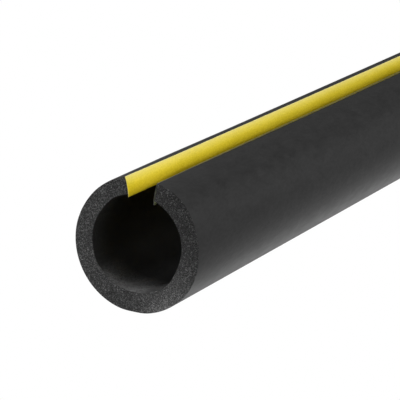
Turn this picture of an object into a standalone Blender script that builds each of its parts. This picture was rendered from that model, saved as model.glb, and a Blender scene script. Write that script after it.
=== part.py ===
"""One length of slit foam pipe insulation, with a release liner over the glued lip on each side of its slit.

Metres, +Z up. X runs along the tube. The slit is at the top and opens a little towards the front, -Y.
The origin is on the surface that the tube lies on, under its middle.
"""

import math

import bmesh
import bpy
from mathutils import Vector
from mathutils.geometry import intersect_line_sphere_2d

# The tube, as sold for a 42 mm pipe. Its wall is thinner at the top than at the bottom.
LENGTH = 1.0
OUTSIDE_DIAMETER = 0.062
BORE_DIAMETER = 0.0444
BORE_RISE = 0.0006
BORE_SHIFT_BACK = 0.0002

# The slit. Each lip's outer corner is so many degrees round from the top, towards the front,
# and its face leans so many degrees from upright, top to the front.
BACK_LIP_ANGLE = -11.0
BACK_LIP_LEAN = -10.0
FRONT_LIP_ANGLE = 19.4
FRONT_LIP_LEAN = 10.6

# The release liners, which are wider than the wall is thick, so that each reaches into the bore.
# The depths are those of a liner's upper edge below its lip's outer corner.
LINER_WIDTH = 0.0098
LINER_THICKNESS = 0.0002
BACK_LINER_DEPTH = -0.0003
FRONT_LINER_DEPTH = 0.0003
GLUE_GAP = 0.0003

# Corners of the round outlines, each so many degrees from the next. One facet is level, at the bottom.
FACET_ANGLE = 3.0

OUTSIDE_RADIUS = OUTSIDE_DIAMETER / 2
BORE_RADIUS = BORE_DIAMETER / 2
BORE_CENTRE = Vector((BORE_SHIFT_BACK, BORE_RISE))
AXIS_HEIGHT = OUTSIDE_RADIUS * math.cos(math.radians(FACET_ANGLE / 2))


def clear_scene():
    for obj in list(bpy.data.objects):
        bpy.data.objects.remove(obj)


def plain_material(name, colour, roughness):
    """A Principled material of one colour, not metallic."""
    material = bpy.data.materials.new(name)
    material.use_nodes = True
    shader = material.node_tree.nodes["Principled BSDF"]
    shader.inputs["Base Color"].default_value = (*colour, 1.0)
    shader.inputs["Roughness"].default_value = roughness
    shader.inputs["Metallic"].default_value = 0.0
    return material


def from_top(angle):
    """The direction so many degrees round from the top, towards the front, in the (Y, Z) cross-section."""
    around = math.radians(angle)
    return Vector((-math.sin(around), math.cos(around)))


class Lip:
    """One flat face of the slit in the (Y, Z) cross-section, measured from the tube's axis."""

    def __init__(self, angle, lean, slit_side):
        self.corner = from_top(angle) * OUTSIDE_RADIUS
        self.inward = -from_top(lean)
        self.into_slit = from_top(lean + 90 * slit_side)

    def point(self, depth, height=0.0):
        """The point so deep below the outer corner, and so high above the face."""
        return self.corner + self.inward * depth + self.into_slit * height

    def bore_corner(self):
        """Where the face meets the bore."""
        deep = self.point(BORE_RADIUS)
        met = intersect_line_sphere_2d(self.corner, deep, BORE_CENTRE, BORE_RADIUS, True)
        return next(corner for corner in met if corner)


# The front of the tube is at growing angles from the top, so the slit is on that side of the back lip
BACK_LIP = Lip(BACK_LIP_ANGLE, BACK_LIP_LEAN, 1)
FRONT_LIP = Lip(FRONT_LIP_ANGLE, FRONT_LIP_LEAN, -1)


def angle_from_top(offset):
    """How many degrees an offset from a centre is round from the top, towards the front, from 0 to 360."""
    return math.degrees(math.atan2(-offset.x, offset.y)) % 360


def arc(centre, radius, first, last):
    """The first and the last corner, and the facets' corners between them, by way of the bottom."""
    angles = [FACET_ANGLE * (step + 0.5) for step in range(round(360 / FACET_ANGLE))]
    start, end = angle_from_top(first - centre), angle_from_top(last - centre)
    near = FACET_ANGLE / 4
    between = [centre + from_top(a) * radius for a in angles if start + near < a < end - near]
    return [first, *between, last]


def tube_section():
    """The wall's outline: round the outside from lip to lip, and back round the bore."""
    axis = Vector((0, 0))
    outside = arc(axis, OUTSIDE_RADIUS, FRONT_LIP.corner, BACK_LIP.corner)
    bore = arc(BORE_CENTRE, BORE_RADIUS, FRONT_LIP.bore_corner(), BACK_LIP.bore_corner())
    return outside + bore[::-1]


def liner_section(lip, depth):
    """A thin flat strip over the glue on a lip."""
    low, high = GLUE_GAP, GLUE_GAP + LINER_THICKNESS
    end = depth + LINER_WIDTH
    return [lip.point(depth, low), lip.point(end, low), lip.point(end, high), lip.point(depth, high)]


def lengthwise(name, section, material):
    """An object of one closed solid: the section drawn out along X, the tube's whole length."""
    bm = bmesh.new()
    corners = [bm.verts.new((-LENGTH / 2, y, z + AXIS_HEIGHT)) for y, z in section]
    near_end = bm.faces.new(corners)
    drawn = bmesh.ops.extrude_face_region(bm, geom=[near_end])["geom"]
    far_end = [element for element in drawn if isinstance(element, bmesh.types.BMVert)]
    bmesh.ops.translate(bm, verts=far_end, vec=(LENGTH, 0, 0))
    bmesh.ops.recalc_face_normals(bm, faces=bm.faces)
    mesh = bpy.data.meshes.new(name)
    bm.to_mesh(mesh)
    bm.free()
    mesh.materials.append(material)
    mesh.shade_smooth()
    mesh.set_sharp_from_angle(angle=math.radians(3 * FACET_ANGLE))
    obj = bpy.data.objects.new(name, mesh)
    bpy.context.scene.collection.objects.link(obj)


clear_scene()
foam_black = plain_material("foam_black", (0.030, 0.030, 0.031), 0.55)
liner_yellow = plain_material("liner_yellow", (0.74, 0.57, 0.05), 0.40)
lengthwise("foam_tube", tube_section(), foam_black)
lengthwise("back_release_liner", liner_section(BACK_LIP, BACK_LINER_DEPTH), liner_yellow)
lengthwise("front_release_liner", liner_section(FRONT_LIP, FRONT_LINER_DEPTH), liner_yellow)
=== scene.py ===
"""Slit foam pipe insulation, with a yellow release liner on each lip of its slit, in a plain white studio.

Metres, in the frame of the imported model. X runs along the tube, from the end that the camera sees.
"""

import math

import bmesh
import bpy
from mathutils import Matrix, Vector, noise


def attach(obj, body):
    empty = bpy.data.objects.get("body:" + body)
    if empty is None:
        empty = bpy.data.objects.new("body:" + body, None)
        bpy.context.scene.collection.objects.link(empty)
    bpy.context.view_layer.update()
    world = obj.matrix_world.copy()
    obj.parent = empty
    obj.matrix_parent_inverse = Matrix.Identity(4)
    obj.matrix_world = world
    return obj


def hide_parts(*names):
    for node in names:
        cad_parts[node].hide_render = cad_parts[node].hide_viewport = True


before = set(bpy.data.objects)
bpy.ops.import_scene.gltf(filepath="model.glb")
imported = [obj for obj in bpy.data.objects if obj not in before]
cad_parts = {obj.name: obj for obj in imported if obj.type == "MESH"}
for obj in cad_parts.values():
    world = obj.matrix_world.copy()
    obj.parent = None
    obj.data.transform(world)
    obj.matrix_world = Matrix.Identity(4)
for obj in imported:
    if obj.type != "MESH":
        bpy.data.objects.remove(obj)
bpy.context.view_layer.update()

# The tube. Its bore lies a little off its axis, so the wall is thinner at the top.
LENGTH = 1.0
NEAR_END = -LENGTH / 2
OUTSIDE_RADIUS = 0.03099
BORE_RADIUS = 0.0222
MIDDLE_OF_WALL = (OUTSIDE_RADIUS + BORE_RADIUS) / 2
AXIS = Vector((0.0, 0.0, 0.030989))
BORE_SHIFT = Vector((0.0, 0.0002, 0.0006))
STEPS_AROUND = 180
CUTS_ALONG = 100
CUT_EDGE_ROUNDING = 0.00025
SHARP_FOAM_ANGLE = math.radians(40)

# Where the soft foam is pressed out of round at the near end, going back to round over some length.
# Each bump has its middle and half its width in degrees round from the top towards the front, and its height.
OUTSIDE_BUMPS = ((42.0, 25.0, 0.0006), (87.0, 38.0, -0.00075), (-16.0, 18.0, 0.0003),
                 (-57.0, 28.0, -0.0002), (184.0, 14.0, -0.0003))
BORE_BUMPS = ((-26.0, 28.0, 0.0007), (112.0, 24.0, -0.00045), (142.0, 20.0, 0.0005), (-115.0, 20.0, 0.00035))
BUMP_LENGTH = 0.12

# The slit: each lip's outer corner in degrees round from the top towards the front, its face's lean, and the
# height that every face round the slit is above
BACK_LIP_ANGLE = -11.0
BACK_LIP_LEAN = -10.0
FRONT_LIP_ANGLE = 19.4
FRONT_LIP_LEAN = 10.6
ABOVE_BORE_MIDDLE = AXIS.z + 0.01

# How far the soft lips stand below their straight line, as pairs of distance from the near end and drop.
# The foam goes with them over some degrees to either side of a place a little outside the lip.
BACK_LIP_DROP = ((0.0, 0.0), (0.05, -0.0002), (0.12, 0.0), (0.25, 0.0001))
FRONT_LIP_DROP = ((0.0, 0.0), (0.03, -0.00002), (0.18, 0.00066), (0.25, 0.0007))
DROP_REACH = 30.0
DROP_MIDDLE_OUTSIDE_LIP = 10.0

# The release liners, each glued to its lip: how far its face stands off it, how deep its upper edge is below
# the lip's corner, and how far it is askew, in the same pairs as the lips
BACK_LINER_WIDTH = 0.00925
FRONT_LINER_WIDTH = 0.0100
LINER_FACE_HEIGHT = 0.0005
FILM_THICKNESS = 0.0002
GLUE_THICKNESS = 0.00024
BACK_LINER_DEPTH = -0.0003
FRONT_LINER_DEPTH = 0.0
BACK_LINER_DROP = ((0.0, 0.0), (0.045, 0.0003), (0.2, 0.00078), (0.3, 0.0009))
FRONT_LINER_DROP = ((0.0, 0.0), (0.05, -0.00018), (0.1, -0.00013), (0.18, 0.0), (0.3, -0.0001))
LINER_BOW = 0.0003
LINER_WAVE = 0.00008
LINER_WAVES_ALONG = 14
LINER_WAVES_ACROSS = 60
LINER_STEPS_ALONG = 250
LINER_STEPS_ACROSS = 8
SHARP_FILM_ANGLE = math.radians(30)

# How faces are told apart: by how far off a plane they are, and by their normal's part along a direction,
# from 0 across it to 1 straight along it
ON_PLANE = 0.0002
STRAIGHT_ALONG = 0.95
MOSTLY_ALONG = 0.7
PARTLY_ALONG = 0.3

# The order of the materials on the foam and on a liner
OUTER_SKIN, CUT_CELLS, BORE_SKIN = range(3)
FILM_FACE, LONG_EDGE, GLUE, GLUED_SIDE, END_EDGE = range(5)

# The camera, worked out from the end face's outline and the tube's straight edges. The near end's middle is
# off the middle of the view by these shares of the distance, to the right and upwards.
CAMERA_TURN = 26.10
CAMERA_TILT = 13.89
CAMERA_DISTANCE = 1.10742
NEAR_END_IN_VIEW = (-0.02508, -0.0182)
CAMERA_LENS = 225.97
CAMERA_SENSOR = 36.0

# The light from round about: the strength of each zone, and where each of its ramps starts and is full,
# by the direction's part along that axis
WORLD_GLOW = (
    (2.33, (("Y", -0.4, -0.7), ("Z", 0.1, 0.2), ("Z", 0.55, 0.4), ("X", -0.2, 0.1))),
    (0.93, (("Y", -0.4, -0.7), ("Z", 0.1, 0.2), ("Z", 0.35, 0.25), ("X", -0.2, 0.1))),
    (0.62, (("Y", -0.4, -0.7), ("Z", 0.3, 0.4), ("Z", 0.65, 0.55), ("X", -0.2, 0.1))),
    (1.74, (("Y", -0.75, -0.95), ("Z", 0.0, 0.1))),
    (0.83, (("Y", -0.2, -0.6), ("Z", 0.2, 0.1), ("X", -0.4, -0.1))),
    (0.92, (("X", 0.2, 0.6), ("Z", 0.45, 0.6))),
    (0.26, (("Y", 0.0, 0.3), ("Z", 0.4, 0.6))),
    (0.52, (("Y", 0.2, 0.6), ("Z", 0.1, 0.2), ("Z", 0.7, 0.5), ("X", -0.3, 0.1))),
)

# The glow of the floor, in the same way, by the place on it: in strips along the tube, the first three before
# its front and the fourth behind it, and then close before its near end
FLOOR_GLOW = (
    (1.50, (("Y", -0.01, -0.02), ("Y", -0.045, -0.03), ("X", -0.5, -0.48))),
    (0.72, (("Y", -0.03, -0.045), ("Y", -0.12, -0.07), ("X", -0.5, -0.48))),
    (0.10, (("Y", -0.07, -0.12), ("X", -0.5, -0.48))),
    (0.25, (("Y", 0.02, 0.04), ("Y", 0.12, 0.07), ("X", -0.5, -0.4))),
    (3.90, (("X", -0.495, -0.5), ("X", -0.52, -0.51), ("Y", -0.045, -0.03), ("Y", 0.0, -0.015))),
    (0.39, (("X", -0.495, -0.5), ("X", -0.53, -0.52), ("Y", -0.05, -0.03), ("Y", 0.03, 0.02))),
)
FLOOR_HALF_WIDTH = 20.0

# The softboxes, all turned to the middle of the near end: name, place, size and power in watts
SOFTBOXES = (
    ("softbox over the front", (-0.2, -0.6, 0.9), 0.6, 2.06),
    ("softbox over the near end", (-0.56, -0.04, 0.50), 0.10, 0.27),
    ("close softbox over the near end", (-0.53, 0.08, 0.13), 0.03, 0.066),
    ("softbox beside the near end", (-0.58, 0.20, 0.10), 0.06, 0.27),
    ("low softbox at the near end's back", (-0.55, 0.05, 0.012), 0.02, 0.013),
)


# Shapes


def from_top(angle):
    """The direction so many degrees round from the top, towards the front, across the tube."""
    around = math.radians(angle)
    return Vector((0.0, -math.sin(around), math.cos(around)))


class Lip:
    """One flat cut face of the slit, from its outer corner inwards."""

    def __init__(self, angle, lean, slit_side):
        self.corner = AXIS + from_top(angle) * OUTSIDE_RADIUS
        self.inward = -from_top(lean)
        self.into_slit = from_top(lean + 90 * slit_side)

    def is_beyond(self, point):
        """Whether a point is on the slit's side of this face."""
        return (point - self.corner).dot(self.into_slit) > 0

    def carries(self, face):
        """Whether a face is part of this flat face, and not of its rounded edges."""
        distance = (face.calc_center_median() - self.corner).dot(self.into_slit)
        return abs(distance) < ON_PLANE and abs(face.normal.dot(self.into_slit)) > STRAIGHT_ALONG


BACK_LIP = Lip(BACK_LIP_ANGLE, BACK_LIP_LEAN, 1)
FRONT_LIP = Lip(FRONT_LIP_ANGLE, FRONT_LIP_LEAN, -1)
DROPPED_LIPS = (
    (BACK_LIP, BACK_LIP_DROP, BACK_LIP_ANGLE - DROP_MIDDLE_OUTSIDE_LIP),
    (FRONT_LIP, FRONT_LIP_DROP, FRONT_LIP_ANGLE + DROP_MIDDLE_OUTSIDE_LIP),
)


def finished_piece(name, bm, materials):
    """The object of a finished bmesh, at the origin, with its materials."""
    mesh = bpy.data.meshes.new(name)
    bm.to_mesh(mesh)
    bm.free()
    for material in materials:
        mesh.materials.append(material)
    mesh.shade_smooth()
    piece = bpy.data.objects.new(name, mesh)
    bpy.context.scene.collection.objects.link(piece)
    return piece


def tube_wall():
    """A closed tube: the wall's rectangle turned once round the axis."""
    bm = bmesh.new()
    outer, inner = AXIS.z + OUTSIDE_RADIUS, AXIS.z + BORE_RADIUS
    corners = [bm.verts.new((x, 0.0, z)) for x, z in (
        (NEAR_END, inner), (NEAR_END, outer), (-NEAR_END, outer), (-NEAR_END, inner))]
    sides = [bm.edges.new((corners[i], corners[(i + 1) % 4])) for i in range(4)]
    bmesh.ops.subdivide_edges(bm, edges=[sides[1], sides[3]], cuts=CUTS_ALONG)
    bmesh.ops.spin(bm, geom=bm.verts[:] + bm.edges[:], cent=AXIS, axis=(1.0, 0.0, 0.0),
                   angle=math.tau, steps=STEPS_AROUND, use_merge=True)
    bmesh.ops.recalc_face_normals(bm, faces=bm.faces)
    return bm


def unevenness(angle, bumps):
    """How far the bumps move the surface outwards at an angle round from the top."""
    height = 0.0
    for middle, half_width, top in bumps:
        away = abs((angle - middle + 180.0) % 360.0 - 180.0)
        if away < half_width:
            height += top * (1.0 + math.cos(math.pi * away / half_width)) / 2
    return height


def drop_at(drops, along):
    """The drop at a place along the tube, evenly between its pairs, and level after the last one."""
    from_end = along - NEAR_END
    for (start, low), (end, high) in zip(drops, drops[1:]):
        if from_end < end:
            return low + (high - low) * (from_end - start) / (end - start)
    return drops[-1][1]


def press_foam(bm):
    """Moves the bore off the tube's axis, the near end a little out of round, and the lips by their drops."""
    for vertex in bm.verts:
        out = Vector((0.0, vertex.co.y - AXIS.y, vertex.co.z - AXIS.z))
        angle = math.degrees(math.atan2(-out.y, out.z))
        in_bore = out.length < MIDDLE_OF_WALL
        fade = max(0.0, 1.0 - (vertex.co.x - NEAR_END) / BUMP_LENGTH)
        vertex.co += out.normalized() * unevenness(angle, BORE_BUMPS if in_bore else OUTSIDE_BUMPS) * fade
        if in_bore:
            vertex.co += BORE_SHIFT
        for lip, drops, middle_angle in DROPPED_LIPS:
            share = unevenness(angle, ((middle_angle, DROP_REACH, 1.0),))
            vertex.co += lip.inward * drop_at(drops, vertex.co.x) * share


def cut_along(bm, lip):
    """Cuts the upper part of the wall along a lip's plane."""
    parts = {}
    for face in bm.faces:
        if all(vertex.co.z > ABOVE_BORE_MIDDLE for vertex in face.verts):
            parts.update(dict.fromkeys([face, *face.verts, *face.edges]))
    bmesh.ops.bisect_plane(bm, geom=list(parts), dist=1e-6, plane_co=lip.corner, plane_no=lip.into_slit)


def open_slit(bm):
    """Cuts the wall along both lips, takes out the wedge between them and closes the cut faces."""
    cut_along(bm, BACK_LIP)
    cut_along(bm, FRONT_LIP)
    wedge = []
    for face in bm.faces:
        middle = face.calc_center_median()
        if middle.z > ABOVE_BORE_MIDDLE and BACK_LIP.is_beyond(middle) and FRONT_LIP.is_beyond(middle):
            wedge.append(face)
    bmesh.ops.delete(bm, geom=wedge, context="FACES")
    bmesh.ops.holes_fill(bm, edges=[e for e in bm.edges if e.is_boundary], sides=0)
    bmesh.ops.recalc_face_normals(bm, faces=bm.faces)


def round_cut_edges(bm):
    """Takes the sharpness off every cut edge of the foam."""
    sharp = [e for e in bm.edges if e.calc_face_angle(0.0) > SHARP_FOAM_ANGLE]
    bmesh.ops.bevel(bm, geom=sharp, offset=CUT_EDGE_ROUNDING, offset_type="OFFSET", affect="EDGES",
                    segments=2, profile=0.5, material=-1, clamp_overlap=True)


def mark_foam_faces(bm):
    """The two ends and the two lips are cut through the cells; the rest is skin, outside or in the bore."""
    for face in bm.faces:
        middle = face.calc_center_median()
        at_end = abs(face.normal.x) > PARTLY_ALONG
        on_lip = middle.z > AXIS.z and (BACK_LIP.carries(face) or FRONT_LIP.carries(face))
        if at_end or on_lip:
            face.material_index = CUT_CELLS
        elif math.hypot(middle.y - AXIS.y, middle.z - AXIS.z) < MIDDLE_OF_WALL:
            face.material_index = BORE_SKIN
        else:
            face.material_index = OUTER_SKIN


def foam_tube(materials):
    """The whole tube, slit along its top."""
    bm = tube_wall()
    press_foam(bm)
    open_slit(bm)
    round_cut_edges(bm)
    mark_foam_faces(bm)
    tube = finished_piece("lagging_foam_tube", bm, materials)
    weighted = tube.modifiers.new("even shading", "WEIGHTED_NORMAL")
    weighted.keep_sharp = True
    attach(tube, "root")
    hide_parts("foam_tube")


def film_strip(bm, lip, depth, width, drops):
    """The film's face, bowed across, slightly wavy and laid a little askew from the near end on."""
    bm.loops.layers.uv.new("over the film")
    bmesh.ops.create_grid(bm, x_segments=LINER_STEPS_ALONG, y_segments=LINER_STEPS_ACROSS,
                          size=0.5, calc_uvs=True)
    middle = lip.corner + lip.inward * (depth + width / 2) + lip.into_slit * LINER_FACE_HEIGHT
    own_waves = lip.corner.y * 1000
    for vertex in bm.verts:
        along, down = vertex.co.x * LENGTH, vertex.co.y * width
        waves_at = Vector((along * LINER_WAVES_ALONG, down * LINER_WAVES_ACROSS, own_waves))
        height = noise.noise(waves_at) * LINER_WAVE + LINER_BOW * (0.5 - (2 * down / width) ** 2)
        down += drop_at(drops, along)
        vertex.co = Vector((along, 0, 0)) + middle + lip.inward * down + lip.into_slit * height


def extrude_back(bm, faces, lip, thickness):
    """Draws faces out towards the lip, and returns the new back faces."""
    drawn = bmesh.ops.extrude_face_region(bm, geom=faces, use_keep_orig=True)["geom"]
    moved = [part for part in drawn if isinstance(part, bmesh.types.BMVert)]
    bmesh.ops.translate(bm, verts=moved, vec=lip.into_slit * -thickness)
    return [part for part in drawn if isinstance(part, bmesh.types.BMFace)]


def mark_film(bm, flat_faces, lip):
    """The film's two faces, its long edges and its end edges, which differ in colour."""
    bm.normal_update()
    for face in bm.faces:
        if face in flat_faces:
            face.material_index = FILM_FACE
        elif abs(face.normal.dot(lip.inward)) > MOSTLY_ALONG:
            face.material_index = LONG_EDGE
        else:
            face.material_index = END_EDGE


def lay_glue(bm, film_back, lip, width):
    """The glue behind the film: edge-coloured where it shows over the lip, and pale down in the bore."""
    film = set(bm.faces)
    glued = extrude_back(bm, film_back, lip, GLUE_THICKNESS)
    bmesh.ops.delete(bm, geom=film_back, context="FACES_ONLY")
    for face in bm.faces:
        if face not in film:
            face.material_index = GLUE
    for face in glued:
        below_corner = (face.calc_center_median() - lip.corner).dot(lip.inward)
        face.material_index = GLUED_SIDE if below_corner > width / 4 else LONG_EDGE


def release_liner(name, node, lip, depth, width, drops, materials):
    """A film strip on its glue, laid on a lip and reaching a little way into the bore."""
    bm = bmesh.new()
    film_strip(bm, lip, depth, width, drops)
    film_front = bm.faces[:]
    film_back = extrude_back(bm, film_front, lip, FILM_THICKNESS)
    mark_film(bm, set(film_front + film_back), lip)
    lay_glue(bm, film_back, lip, width)
    bmesh.ops.recalc_face_normals(bm, faces=bm.faces)
    liner = finished_piece(name, bm, materials)
    liner.data.set_sharp_from_angle(angle=SHARP_FILM_ANGLE)
    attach(liner, "root")
    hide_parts(node)


# Materials


def place(tree, kind, inputs=None, **settings):
    """A node with its settings. Each input is linked, if it is given a socket, or set to a value."""
    node = tree.nodes.new(kind)
    for name, value in settings.items():
        setattr(node, name, value)
    for name, value in (inputs or {}).items():
        if isinstance(value, bpy.types.NodeSocket):
            tree.links.new(value, node.inputs[name])
        else:
            node.inputs[name].default_value = value
    return node


def calculate(tree, operation, *values):
    """The outcome of an operation on sockets and numbers."""
    return place(tree, "ShaderNodeMath", dict(enumerate(values)), operation=operation).outputs[0]


def range_of(tree, factor, low, high, start=0.0, end=1.0):
    """A number that goes from low to high as the factor goes from start to end."""
    return place(tree, "ShaderNodeMapRange", {
        "Value": factor, "From Min": start, "From Max": end, "To Min": low, "To Max": high}).outputs["Result"]


def colour_between(tree, factor, *stops):
    """A colour that passes through stops, each (place from 0 to 1, grey or colour), as the factor grows."""
    ramp = place(tree, "ShaderNodeValToRGB", {"Fac": factor})
    elements = ramp.color_ramp.elements
    for position, _ in stops[1:-1]:
        elements.new(position)
    for element, (position, colour) in zip(elements, stops):
        element.position = position
        element.color = (*colour, 1.0) if isinstance(colour, tuple) else (colour, colour, colour, 1.0)
    return ramp.outputs["Color"]


def effect_group(name, inputs, outputs):
    """An empty shader node group with those sockets, its tree and its two ends."""
    tree = bpy.data.node_groups.new(name, "ShaderNodeTree")
    for socket, kind in inputs:
        tree.interface.new_socket(name=socket, in_out="INPUT", socket_type=kind)
    for socket in outputs:
        tree.interface.new_socket(name=socket, in_out="OUTPUT", socket_type="NodeSocketFloat")
    return tree, tree.nodes.new("NodeGroupInput"), tree.nodes.new("NodeGroupOutput")


def foam_cells():
    """Cells of all sizes round one size: how light each is, and how deep the hollow in it."""
    tree, given, out = effect_group(
        "foam cells", [("Place", "NodeSocketVector"), ("Cells per metre", "NodeSocketFloat")],
        ["Light", "Height"])
    cells = place(tree, "ShaderNodeTexVoronoi",
                  {"Vector": given.outputs["Place"], "Scale": given.outputs["Cells per metre"]})
    tone = place(tree, "ShaderNodeSeparateColor", {"Color": cells.outputs["Color"]})
    rim = calculate(tree, "MULTIPLY_ADD", cells.outputs["Distance"], 0.35, -0.1)
    light = calculate(tree, "ADD", tone.outputs["Red"], rim)
    tree.links.new(light, out.inputs["Light"])
    tree.links.new(cells.outputs["Distance"], out.inputs["Height"])
    return tree


def soft_mottle():
    """Faint patches, longer along the tube than round it."""
    tree, given, out = effect_group(
        "soft mottle", [("Place", "NodeSocketVector"), ("Patches per metre", "NodeSocketFloat")], ["Patch"])
    stretched = place(tree, "ShaderNodeMapping", {
        "Vector": given.outputs["Place"], "Scale": (0.45, 1.0, 1.0)})
    patches = place(tree, "ShaderNodeTexNoise", {
        "Vector": stretched.outputs["Vector"], "Scale": given.outputs["Patches per metre"],
        "Detail": 1.0, "Roughness": 0.5, "Distortion": 0.3})
    tree.links.new(patches.outputs["Fac"], out.inputs["Patch"])
    return tree


def cells_at(tree, cells, here, per_metre):
    """The outputs of the foam cells at a size."""
    inputs = {"Place": here, "Cells per metre": per_metre}
    return place(tree, "ShaderNodeGroup", inputs, node_tree=cells).outputs


def patches_at(tree, mottle, here, per_metre):
    """The soft mottle at a size."""
    inputs = {"Place": here, "Patches per metre": per_metre}
    return place(tree, "ShaderNodeGroup", inputs, node_tree=mottle).outputs["Patch"]


def new_finish(name):
    """A material with its tree, its shader and the piece's own coordinates."""
    material = bpy.data.materials.new(name)
    material.use_nodes = True
    tree = material.node_tree
    here = place(tree, "ShaderNodeTexCoord").outputs["Object"]
    return material, tree, tree.nodes["Principled BSDF"], here


def surface(tree, shader, colour, roughness, relief, relief_depth=0.0003, relief_strength=0.3):
    """Gives a shader its colour, its roughness and its fine relief."""
    bump = place(tree, "ShaderNodeBump", {
        "Strength": relief_strength, "Distance": relief_depth, "Height": relief})
    tree.links.new(colour, shader.inputs["Base Color"])
    tree.links.new(roughness, shader.inputs["Roughness"])
    tree.links.new(bump.outputs["Normal"], shader.inputs["Normal"])


def foam_skin(mottle):
    """The smooth skin that the foam is extruded with, matt and very slightly uneven."""
    material, tree, shader, here = new_finish("extruded foam skin")
    patch = patches_at(tree, mottle, here, per_metre=250.0)
    dimple = patches_at(tree, mottle, here, per_metre=700.0)
    both = calculate(tree, "MULTIPLY_ADD", dimple, 0.7, patch)
    colour = colour_between(tree, range_of(tree, both, 0.0, 1.0, 0.5, 1.2), (0.0, 0.016), (1.0, 0.028))
    surface(tree, shader, colour, range_of(tree, patch, 0.50, 0.56, 0.3, 0.7), both)
    shader.inputs["IOR"].default_value = 1.25
    return material


def painted_mouth_light(tree, place_in_bore):
    """Painted light on the bore's skin: paler most low down at the back and just inside the mouth, where
    light falls in, and less towards the front, where it is shaded.
    """
    low = range_of(tree, place_in_bore["Z"], 1.6, 0.12, 0.009, 0.020)
    at_back = range_of(tree, place_in_bore["Y"], 0.24, 0.95, -0.005, 0.005)
    reach = calculate(tree, "MULTIPLY_ADD", place_in_bore["Y"], 0.24, place_in_bore["X"])
    in_mouth = range_of(tree, reach, 1.17, 0.12, NEAR_END + 0.012, NEAR_END + 0.025)
    return calculate(tree, "MULTIPLY", calculate(tree, "MULTIPLY", low, at_back), in_mouth)


def bore_skin(cells, mottle):
    """The skin inside the bore: the cells just show, a pool of light is painted just inside the mouth, and
    deeper in it is evenly grey.
    """
    material, tree, shader, here = new_finish("rough bore skin")
    place_in_bore = place(tree, "ShaderNodeSeparateXYZ", {0: here}).outputs
    fine = cells_at(tree, cells, here, per_metre=1900.0)
    patch = patches_at(tree, mottle, here, per_metre=160.0)
    light = calculate(tree, "MULTIPLY_ADD", patch, 0.2, fine["Light"])
    # Painted light: the cells are paled where light falls in at the mouth.
    painted_light_pool = calculate(tree, "MULTIPLY", range_of(tree, light, 0.2, 1.0, 0.0, 1.25),
                      painted_mouth_light(tree, place_in_bore))
    deep_in = range_of(tree, place_in_bore["X"], 0.0, 0.125, NEAR_END, NEAR_END + 0.042)
    paleness = calculate(tree, "MAXIMUM", painted_light_pool, deep_in)
    colour = colour_between(tree, paleness, (0.0, 0.012), (1.0, 0.16))
    surface(tree, shader, colour, range_of(tree, patch, 0.60, 0.75, 0.3, 0.7), fine["Height"])
    shader.inputs["IOR"].default_value = 1.25
    return material


def cut_foam(cells, mottle):
    """The cells as a blade leaves them: most dark with a random tone, and a few painted bright as glints on
    their walls.
    """
    material, tree, shader, here = new_finish("cut foam cells")
    fine = cells_at(tree, cells, here, per_metre=3000.0)
    patch = patches_at(tree, mottle, here, per_metre=220.0)
    light = calculate(tree, "MULTIPLY_ADD", patch, 0.2, fine["Light"])
    # The brightest stop is a painted glint on a few cells.
    colour = colour_between(tree, range_of(tree, light, 0.0, 1.0, 0.0, 1.25),
                            (0.0, 0.012), (0.55, 0.033), (0.8, 0.062), (1.0, 0.21))
    surface(tree, shader, colour, range_of(tree, fine["Light"], 0.75, 0.6), fine["Height"],
            relief_strength=0.6)
    shader.inputs["IOR"].default_value = 1.3
    return material


def painted_slit_shade(tree, along, down):
    """Painted shade: how much the film's colour is darkened low in the slit, where the front lip shades it,
    and a little less in the mouth.
    """
    at_mouth = range_of(tree, along, -0.14, 0.05, NEAR_END, NEAR_END + 0.05)
    inside = calculate(tree, "ADD", down, at_mouth)
    return colour_between(tree, inside, (0.0, 1.05), (0.5, 1.05), (0.7, 1.0),
                          (0.8, 0.89), (0.9, 0.58), (1.0, 0.40))


def film_body(tree, uneven, along):
    """The film's own yellow, slightly uneven, with painted shade that makes it a little darker at the near
    end.
    """
    yellow = colour_between(tree, range_of(tree, uneven, 0.0, 1.0, 0.5, 1.0),
                            (0.0, (0.79, 0.63, 0.022)), (1.0, (0.94, 0.765, 0.044)))
    # Painted shade: the colour is darkened towards the near end, where the film gets more light.
    painted_mouth_shade = range_of(tree, along, 0.91, 1.0, NEAR_END, NEAR_END + 0.08)
    body = place(tree, "ShaderNodeVectorMath", {0: yellow, "Scale": painted_mouth_shade}, operation="SCALE")
    return body.outputs["Vector"]


def yellow_film(mottle):
    """Satin yellow release film, with a painted sheen that pales it towards its upper edge, and painted shade
    that darkens it low in the slit and a little at the near end.
    """
    material, tree, shader, here = new_finish("yellow release film")
    patch = patches_at(tree, mottle, here, per_metre=90.0)
    grain = patches_at(tree, mottle, here, per_metre=1800.0)
    uneven = calculate(tree, "MULTIPLY_ADD", patch, 0.5, grain)
    along = place(tree, "ShaderNodeSeparateXYZ", {0: here}).outputs["X"]
    over_film = place(tree, "ShaderNodeUVMap").outputs["UV"]
    down = place(tree, "ShaderNodeSeparateXYZ", {0: over_film}).outputs["Y"]
    shaded = place(tree, "ShaderNodeVectorMath", {
        0: film_body(tree, uneven, along), 1: painted_slit_shade(tree, along, down)}, operation="MULTIPLY")
    # Painted sheen: the colour is mixed towards pale yellow near the film's upper edge, standing in for the
    # reflection there.
    painted_sheen = colour_between(tree, down, (0.0, 1.0), (0.05, 0.4), (0.2, 0.2), (0.45, 0.04), (0.6, 0.0))
    colour = place(tree, "ShaderNodeMix", {
        0: painted_sheen, 6: shaded.outputs["Vector"], 7: (0.93, 0.87, 0.34, 1.0)}, data_type="RGBA").outputs[2]
    surface(tree, shader, colour, range_of(tree, patch, 0.20, 0.26, 0.3, 0.7), uneven, relief_depth=0.0002)
    return material


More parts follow.
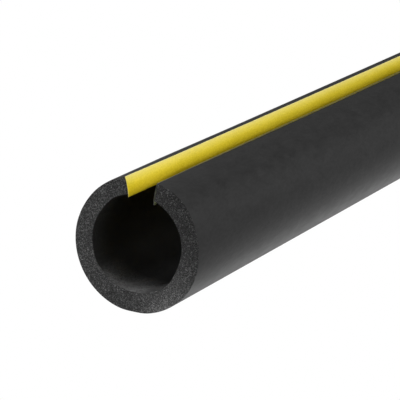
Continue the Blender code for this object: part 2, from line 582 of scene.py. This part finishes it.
def cut_edge(name, mottle, low, high):
    """A cut edge or a glued side, unevenly coloured between two tones."""
    material, tree, shader, here = new_finish(name)
    patch = patches_at(tree, mottle, here, per_metre=400.0)
    colour = colour_between(tree, range_of(tree, patch, 0.0, 1.0, 0.3, 0.7), (0.0, low), (1.0, high))
    surface(tree, shader, colour, range_of(tree, patch, 0.4, 0.6), patch, relief_depth=0.0002)
    return material


# The studio


def zone_glow(tree, parts, strength, ramps):
    """One zone's strength, fading in and out along its ramps."""
    glow = strength
    for axis, start, full in ramps:
        glow = calculate(tree, "MULTIPLY", glow, range_of(tree, parts[axis], 0.0, 1.0, start, full))
    return glow


def glow_of(tree, coordinates, zones):
    """The strengths of all zones together."""
    parts = place(tree, "ShaderNodeSeparateXYZ", {0: coordinates}).outputs
    total = 0.0
    for strength, ramps in zones:
        total = calculate(tree, "ADD", total, zone_glow(tree, parts, strength, ramps))
    return total


def white_to_camera(tree, lighting):
    """Plain white where the camera looks straight at it, and the given shader for every other ray."""
    seen = place(tree, "ShaderNodeLightPath").outputs["Is Camera Ray"]
    white = place(tree, lighting.bl_idname, {"Color": (1.0, 1.0, 1.0, 1.0), "Strength": 1.0})
    mixed = place(tree, "ShaderNodeMixShader", {0: seen, 1: lighting.outputs[0], 2: white.outputs[0]})
    return mixed.outputs[0]


def studio_floor():
    """A white floor that glows softly round the tube, as a light table does."""
    bm = bmesh.new()
    bmesh.ops.create_grid(bm, x_segments=1, y_segments=1, size=FLOOR_HALF_WIDTH)
    mesh = bpy.data.meshes.new("studio_floor")
    bm.to_mesh(mesh)
    bm.free()
    material = bpy.data.materials.new("white floor")
    material.use_nodes = True
    tree = material.node_tree
    tree.nodes.remove(tree.nodes["Principled BSDF"])
    here = place(tree, "ShaderNodeTexCoord").outputs["Object"]
    glow = glow_of(tree, here, FLOOR_GLOW)
    lighting = place(tree, "ShaderNodeEmission", {"Color": (1.0, 1.0, 1.0, 1.0), "Strength": glow})
    tree.links.new(white_to_camera(tree, lighting), tree.nodes["Material Output"].inputs["Surface"])
    material.cycles.emission_sampling = "NONE"
    mesh.materials.append(material)
    floor = bpy.data.objects.new("studio_floor", mesh)
    bpy.context.scene.collection.objects.link(floor)


def studio_world():
    """Soft light from round about, most of it low from the front."""
    world = bpy.data.worlds.new("studio light")
    world.use_nodes = True
    tree = world.node_tree
    direction = place(tree, "ShaderNodeTexCoord").outputs["Generated"]
    glow = glow_of(tree, direction, WORLD_GLOW)
    lighting = place(tree, "ShaderNodeBackground", {"Color": (1.0, 1.0, 1.0, 1.0), "Strength": glow})
    tree.links.new(white_to_camera(tree, lighting), tree.nodes["World Output"].inputs["Surface"])
    bpy.context.scene.world = world


def softbox(name, place_at, size, power):
    """A square soft light, turned to the middle of the near end, that the camera doesn't see."""
    data = bpy.data.lights.new(name, "AREA")
    data.size = size
    data.energy = power
    light = bpy.data.objects.new(name, data)
    light.location = place_at
    towards = Vector((NEAR_END, 0.0, 0.0)) + AXIS - light.location
    light.rotation_euler = towards.to_track_quat("-Z", "Y").to_euler()
    light.visible_camera = False
    bpy.context.scene.collection.objects.link(light)


def photograph_camera():
    """The camera, at the photograph's viewing angle."""
    turn, tilt = math.radians(CAMERA_TURN), math.radians(CAMERA_TILT)
    forward = Vector((math.cos(tilt) * math.cos(turn), math.cos(tilt) * math.sin(turn), -math.sin(tilt)))
    right = Vector((math.sin(turn), -math.cos(turn), 0.0))
    up = right.cross(forward)
    near_end = Vector((NEAR_END, 0.0, 0.0)) + AXIS
    across_view, up_view = NEAR_END_IN_VIEW
    place_at = near_end - (right * across_view + up * up_view + forward) * CAMERA_DISTANCE
    data = bpy.data.cameras.new("photograph camera")
    data.lens = CAMERA_LENS
    data.sensor_width = CAMERA_SENSOR
    data.clip_start = 0.05
    data.clip_end = 100.0
    camera = bpy.data.objects.new("photograph camera", data)
    camera.matrix_world = Matrix.Translation(place_at) @ Matrix((right, up, -forward)).transposed().to_4x4()
    bpy.context.scene.collection.objects.link(camera)
    bpy.context.scene.camera = camera


def main():
    """Builds the tube and its two liners, and then the studio."""
    bpy.context.scene.view_settings.view_transform = "Standard"
    cells = foam_cells()
    mottle = soft_mottle()
    film = yellow_film(mottle)
    pale_edge = cut_edge("pale film edge", mottle, (0.76, 0.64, 0.16), (0.82, 0.72, 0.26))
    olive_edge = cut_edge("olive film edge", mottle, (0.21, 0.175, 0.008), (0.31, 0.26, 0.016))
    dull_edge = cut_edge("dull film edge", mottle, (0.060, 0.062, 0.045), (0.085, 0.088, 0.060))
    glue = cut_edge("glue", mottle, (0.030, 0.033, 0.026), (0.045, 0.048, 0.038))
    glued_side = cut_edge("glued side of the film", mottle, (0.80, 0.86, 0.42), (0.88, 0.95, 0.48))
    foam_tube([foam_skin(mottle), cut_foam(cells, mottle), bore_skin(cells, mottle)])
    release_liner("back_film_liner", "back_release_liner", BACK_LIP, BACK_LINER_DEPTH, BACK_LINER_WIDTH,
                  BACK_LINER_DROP, [film, pale_edge, glue, glued_side, pale_edge])
    release_liner("front_film_liner", "front_release_liner", FRONT_LIP, FRONT_LINER_DEPTH, FRONT_LINER_WIDTH,
                  FRONT_LINER_DROP, [film, olive_edge, glue, glued_side, dull_edge])
    studio_floor()
    studio_world()
    for box in SOFTBOXES:
        softbox(*box)
    photograph_camera()


main()
